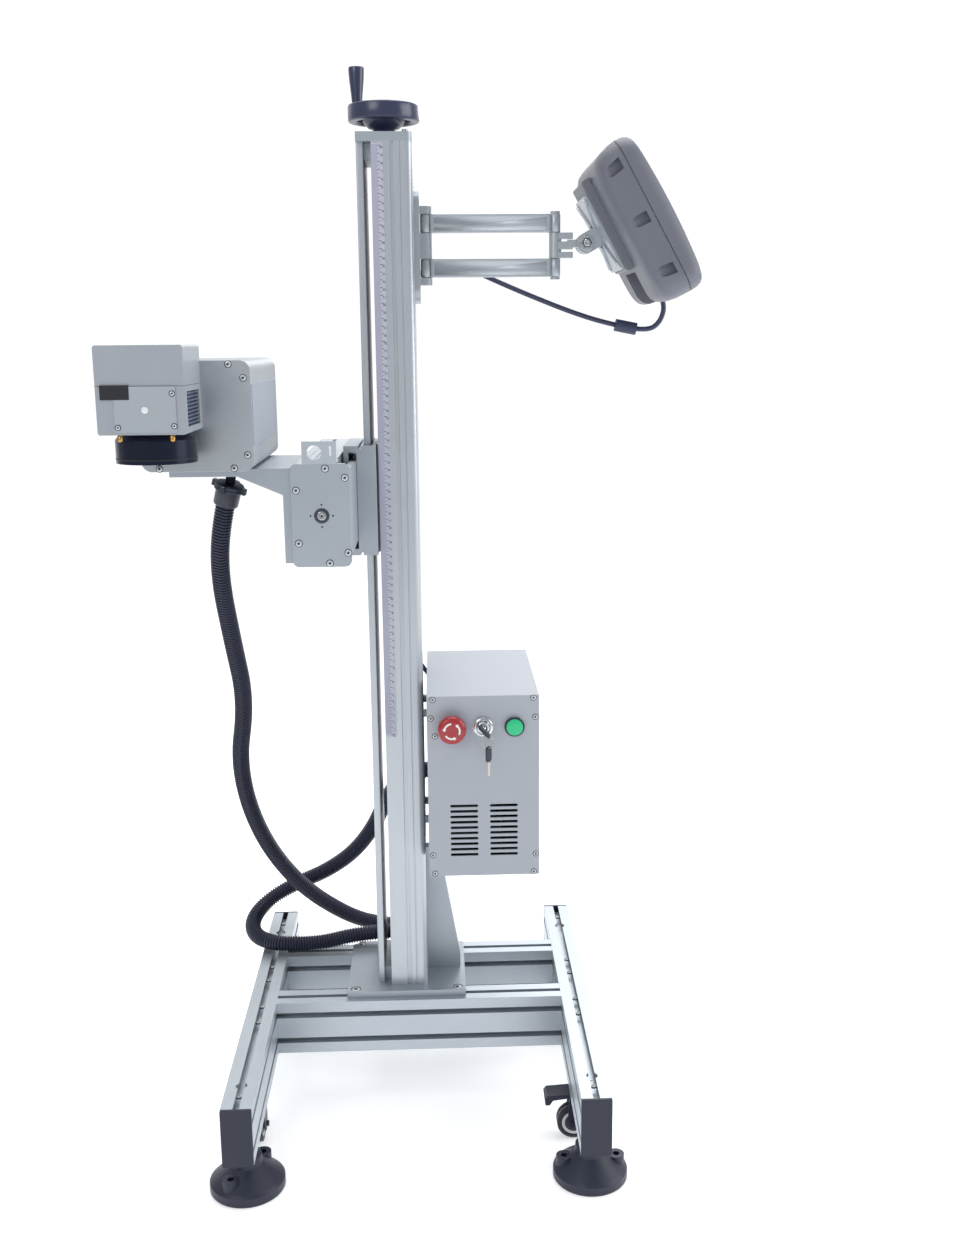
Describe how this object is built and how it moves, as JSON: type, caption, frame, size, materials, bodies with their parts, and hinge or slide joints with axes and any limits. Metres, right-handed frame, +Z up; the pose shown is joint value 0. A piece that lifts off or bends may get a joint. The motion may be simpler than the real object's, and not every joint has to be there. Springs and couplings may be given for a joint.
{
  "type": "date code marking machine",
  "caption": "Wheeled extrusion column carrying a laser date coder on a crank-driven lift and cross slide, with control box, swing-arm monitor and hose.",
  "frame": {"origin": "on the floor, midway between the two base rails and midway along them", "axes": "+Z up, -Y towards the user, +X to the user's right, the side of the control box and the monitor"},
  "size_m": [0.7357, 0.6, 1.4645],
  "materials": {
    "anodised_aluminium": "matt clear anodised",
    "black_cap": "moulded",
    "screw_steel": "machined",
    "ruler_print": "printed strip",
    "handle_plastic": "moulded",
    "shoe_plastic": "acetal",
    "nut_bronze": "machined bronze",
    "sheet_steel": "sheet",
    "laser_case": "satin",
    "brushed_front": "brushed",
    "driver_case": "coated",
    "cover_black": "satin",
    "heat_sink_blue": "blue anodised",
    "lens_black": "black anodised",
    "conduit_black": "corrugated nylon",
    "cable_black": "moulded",
    "box_paint": "fine texture",
    "bezel_chrome": "polished",
    "stop_red": "moulded",
    "key_steel": "nickel",
    "start_green": "moulded",
    "cast_grey": "silver paint",
    "monitor_grey": "moulded",
    "screen_glass": "dark glass",
    "castor_black": "moulded",
    "castor_tread": "light grey tread"
  },
  "bodies": {
    "root": {"base_rails": "anodised_aluminium", "cross_beams": "anodised_aluminium", "rail_end_caps": "black_cap", "base_plate": "anodised_aluminium", "frame_screws": "screw_steel", "levelling_feet": "black_cap", "column_body": "anodised_aluminium", "column_ruler": "ruler_print", "column_cover_plate": "anodised_aluminium", "column_end_plate": "anodised_aluminium", "lift_bearings": "anodised_aluminium", "column_gusset": "anodised_aluminium", "box_shell": "box_paint", "box_panel": "box_paint", "box_electronics": "driver_case", "panel_bezels": "bezel_chrome", "arm_wall_plate": "cast_grey", "laser_hose": "conduit_black", "monitor_cable": "cable_black", "cable_ferrite": "cable_black"},
    "lift_drive": {"lift_screw": "screw_steel", "handwheel": "handle_plastic"},
    "handle": {"handwheel_handle": "handle_plastic"},
    "carriage": {"lift_carriage": "anodised_aluminium", "cross_carriage": "anodised_aluminium", "slide_shoes": "shoe_plastic", "screw_nuts": "nut_bronze"},
    "slide": {"cross_body": "anodised_aluminium", "cross_cover_plate": "anodised_aluminium", "cross_end_plates": "anodised_aluminium", "head_screws": "screw_steel", "sensor_bracket": "sheet_steel", "laser_bracket": "anodised_aluminium", "laser_housing": "laser_case", "laser_end_plates": "brushed_front", "laser_module": "driver_case", "scan_head": "laser_case", "scan_cover": "cover_black", "scan_heat_sink": "heat_sink_blue", "lens": "lens_black", "hose_gland": "conduit_black"},
    "cross_drive": {"cross_screw": "screw_steel"},
    "arm": {"arm_bars": "cast_grey"},
    "head": {"arm_end_bracket": "cast_grey"},
    "monitor": {"tilt_bracket": "cast_grey", "monitor_bezel": "monitor_grey", "monitor_shell": "monitor_grey", "monitor_screen": "screen_glass"},
    "estop": {"estop_button": "stop_red"},
    "start": {"start_button": "start_green"},
    "lock_key": {"key": "key_steel"},
    "hung_key": {"spare_key": "key_steel"},
    "fork_1": {"castor_fork_1": "castor_black"},
    "wheel_1": {"castor_wheel_1": "castor_tread"},
    "fork_2": {"castor_fork_2": "castor_black"},
    "wheel_2": {"castor_wheel_2": "castor_tread"},
    "fork_3": {"castor_fork_3": "castor_black"},
    "wheel_3": {"castor_wheel_3": "castor_tread"},
    "fork_4": {"castor_fork_4": "castor_black"},
    "wheel_4": {"castor_wheel_4": "castor_tread"}
  },
  "joints": [
    {"name": "lift", "type": "slide", "parent": "root", "child": "carriage", "axis": [0, 0, 1], "range_m": [-0.6, 0.35], "deforming": ["laser_hose"]},
    {"name": "lift_crank", "type": "hinge", "parent": "root", "child": "lift_drive", "pos_m": [-0.025, 0.072, 1.38], "axis": [0, 0, 1], "range_deg": [-45000, 45000]},
    {"name": "handle_spin", "type": "hinge", "parent": "lift_drive", "child": "handle", "pos_m": [-0.06071, 0.085, 1.43], "axis": [0, 0, 1], "continuous": true},
    {"name": "cross", "type": "slide", "parent": "carriage", "child": "slide", "axis": [0, 1, 0], "range_m": [-0.115, 0.105], "deforming": ["laser_hose"]},
    {"name": "cross_crank", "type": "hinge", "parent": "slide", "child": "cross_drive", "pos_m": [-0.107, 0.06, 0.891], "axis": [0, 1, 0], "range_deg": [-10000, 10000]},
    {"name": "arm_swing", "type": "hinge", "parent": "root", "child": "arm", "pos_m": [0.0285, 0.072, 1.232], "axis": [0, 0, 1], "range_deg": [-60, 60], "deforming": ["monitor_cable", "cable_ferrite"]},
    {"name": "head_swing", "type": "hinge", "parent": "arm", "child": "head", "pos_m": [0.2065, 0.072, 1.232], "axis": [0, 0, 1], "range_deg": [-45, 45], "deforming": ["monitor_cable", "cable_ferrite"]},
    {"name": "screen_tilt", "type": "hinge", "parent": "head", "child": "monitor", "pos_m": [0.2485, 0.072, 1.234], "axis": [0, 1, 0], "range_deg": [-15, 25], "deforming": ["monitor_cable", "cable_ferrite"]},
    {"name": "stop_push", "type": "slide", "parent": "root", "child": "estop", "axis": [0, 1, 0], "range_m": [0, 0.004], "stiffness_N_per_m": 600},
    {"name": "start_push", "type": "slide", "parent": "root", "child": "start", "axis": [0, 1, 0], "range_m": [0, 0.003], "stiffness_N_per_m": 500},
    {"name": "key_turn", "type": "hinge", "parent": "root", "child": "lock_key", "pos_m": [0.0965, -0.065, 0.585], "axis": [0, 1, 0], "range_deg": [0, 45]},
    {"name": "spare_swing", "type": "hinge", "parent": "lock_key", "child": "hung_key", "pos_m": [0.0965, -0.089, 0.585], "axis": [1, 0, 0], "range_deg": [-60, 4]},
    {"name": "swivel_1", "type": "hinge", "parent": "root", "child": "fork_1", "pos_m": [0.23, -0.139, 0.08], "axis": [0, 0, 1], "continuous": true},
    {"name": "roll_1", "type": "hinge", "parent": "fork_1", "child": "wheel_1", "pos_m": [0.217, -0.139, 0.026], "axis": [0, 1, 0], "continuous": true},
    {"name": "swivel_2", "type": "hinge", "parent": "root", "child": "fork_2", "pos_m": [-0.23, -0.139, 0.08], "axis": [0, 0, 1], "continuous": true},
    {"name": "roll_2", "type": "hinge", "parent": "fork_2", "child": "wheel_2", "pos_m": [-0.23, -0.126, 0.026], "axis": [1, 0, 0], "continuous": true},
    {"name": "swivel_3", "type": "hinge", "parent": "root", "child": "fork_3", "pos_m": [0.23, 0.139, 0.08], "axis": [0, 0, 1], "continuous": true},
    {"name": "roll_3", "type": "hinge", "parent": "fork_3", "child": "wheel_3", "pos_m": [0.217, 0.139, 0.026], "axis": [0, 1, 0], "continuous": true},
    {"name": "swivel_4", "type": "hinge", "parent": "root", "child": "fork_4", "pos_m": [-0.23, 0.139, 0.08], "axis": [0, 0, 1], "continuous": true},
    {"name": "roll_4", "type": "hinge", "parent": "fork_4", "child": "wheel_4", "pos_m": [-0.23, 0.152, 0.026], "axis": [1, 0, 0], "continuous": true}
  ],
  "couplings": [
    {"joint": "lift_crank", "follows": "lift", "rad_per_m": 1256.6},
    {"joint": "cross_crank", "follows": "cross", "rad_per_m": 1256.6}
  ]
}
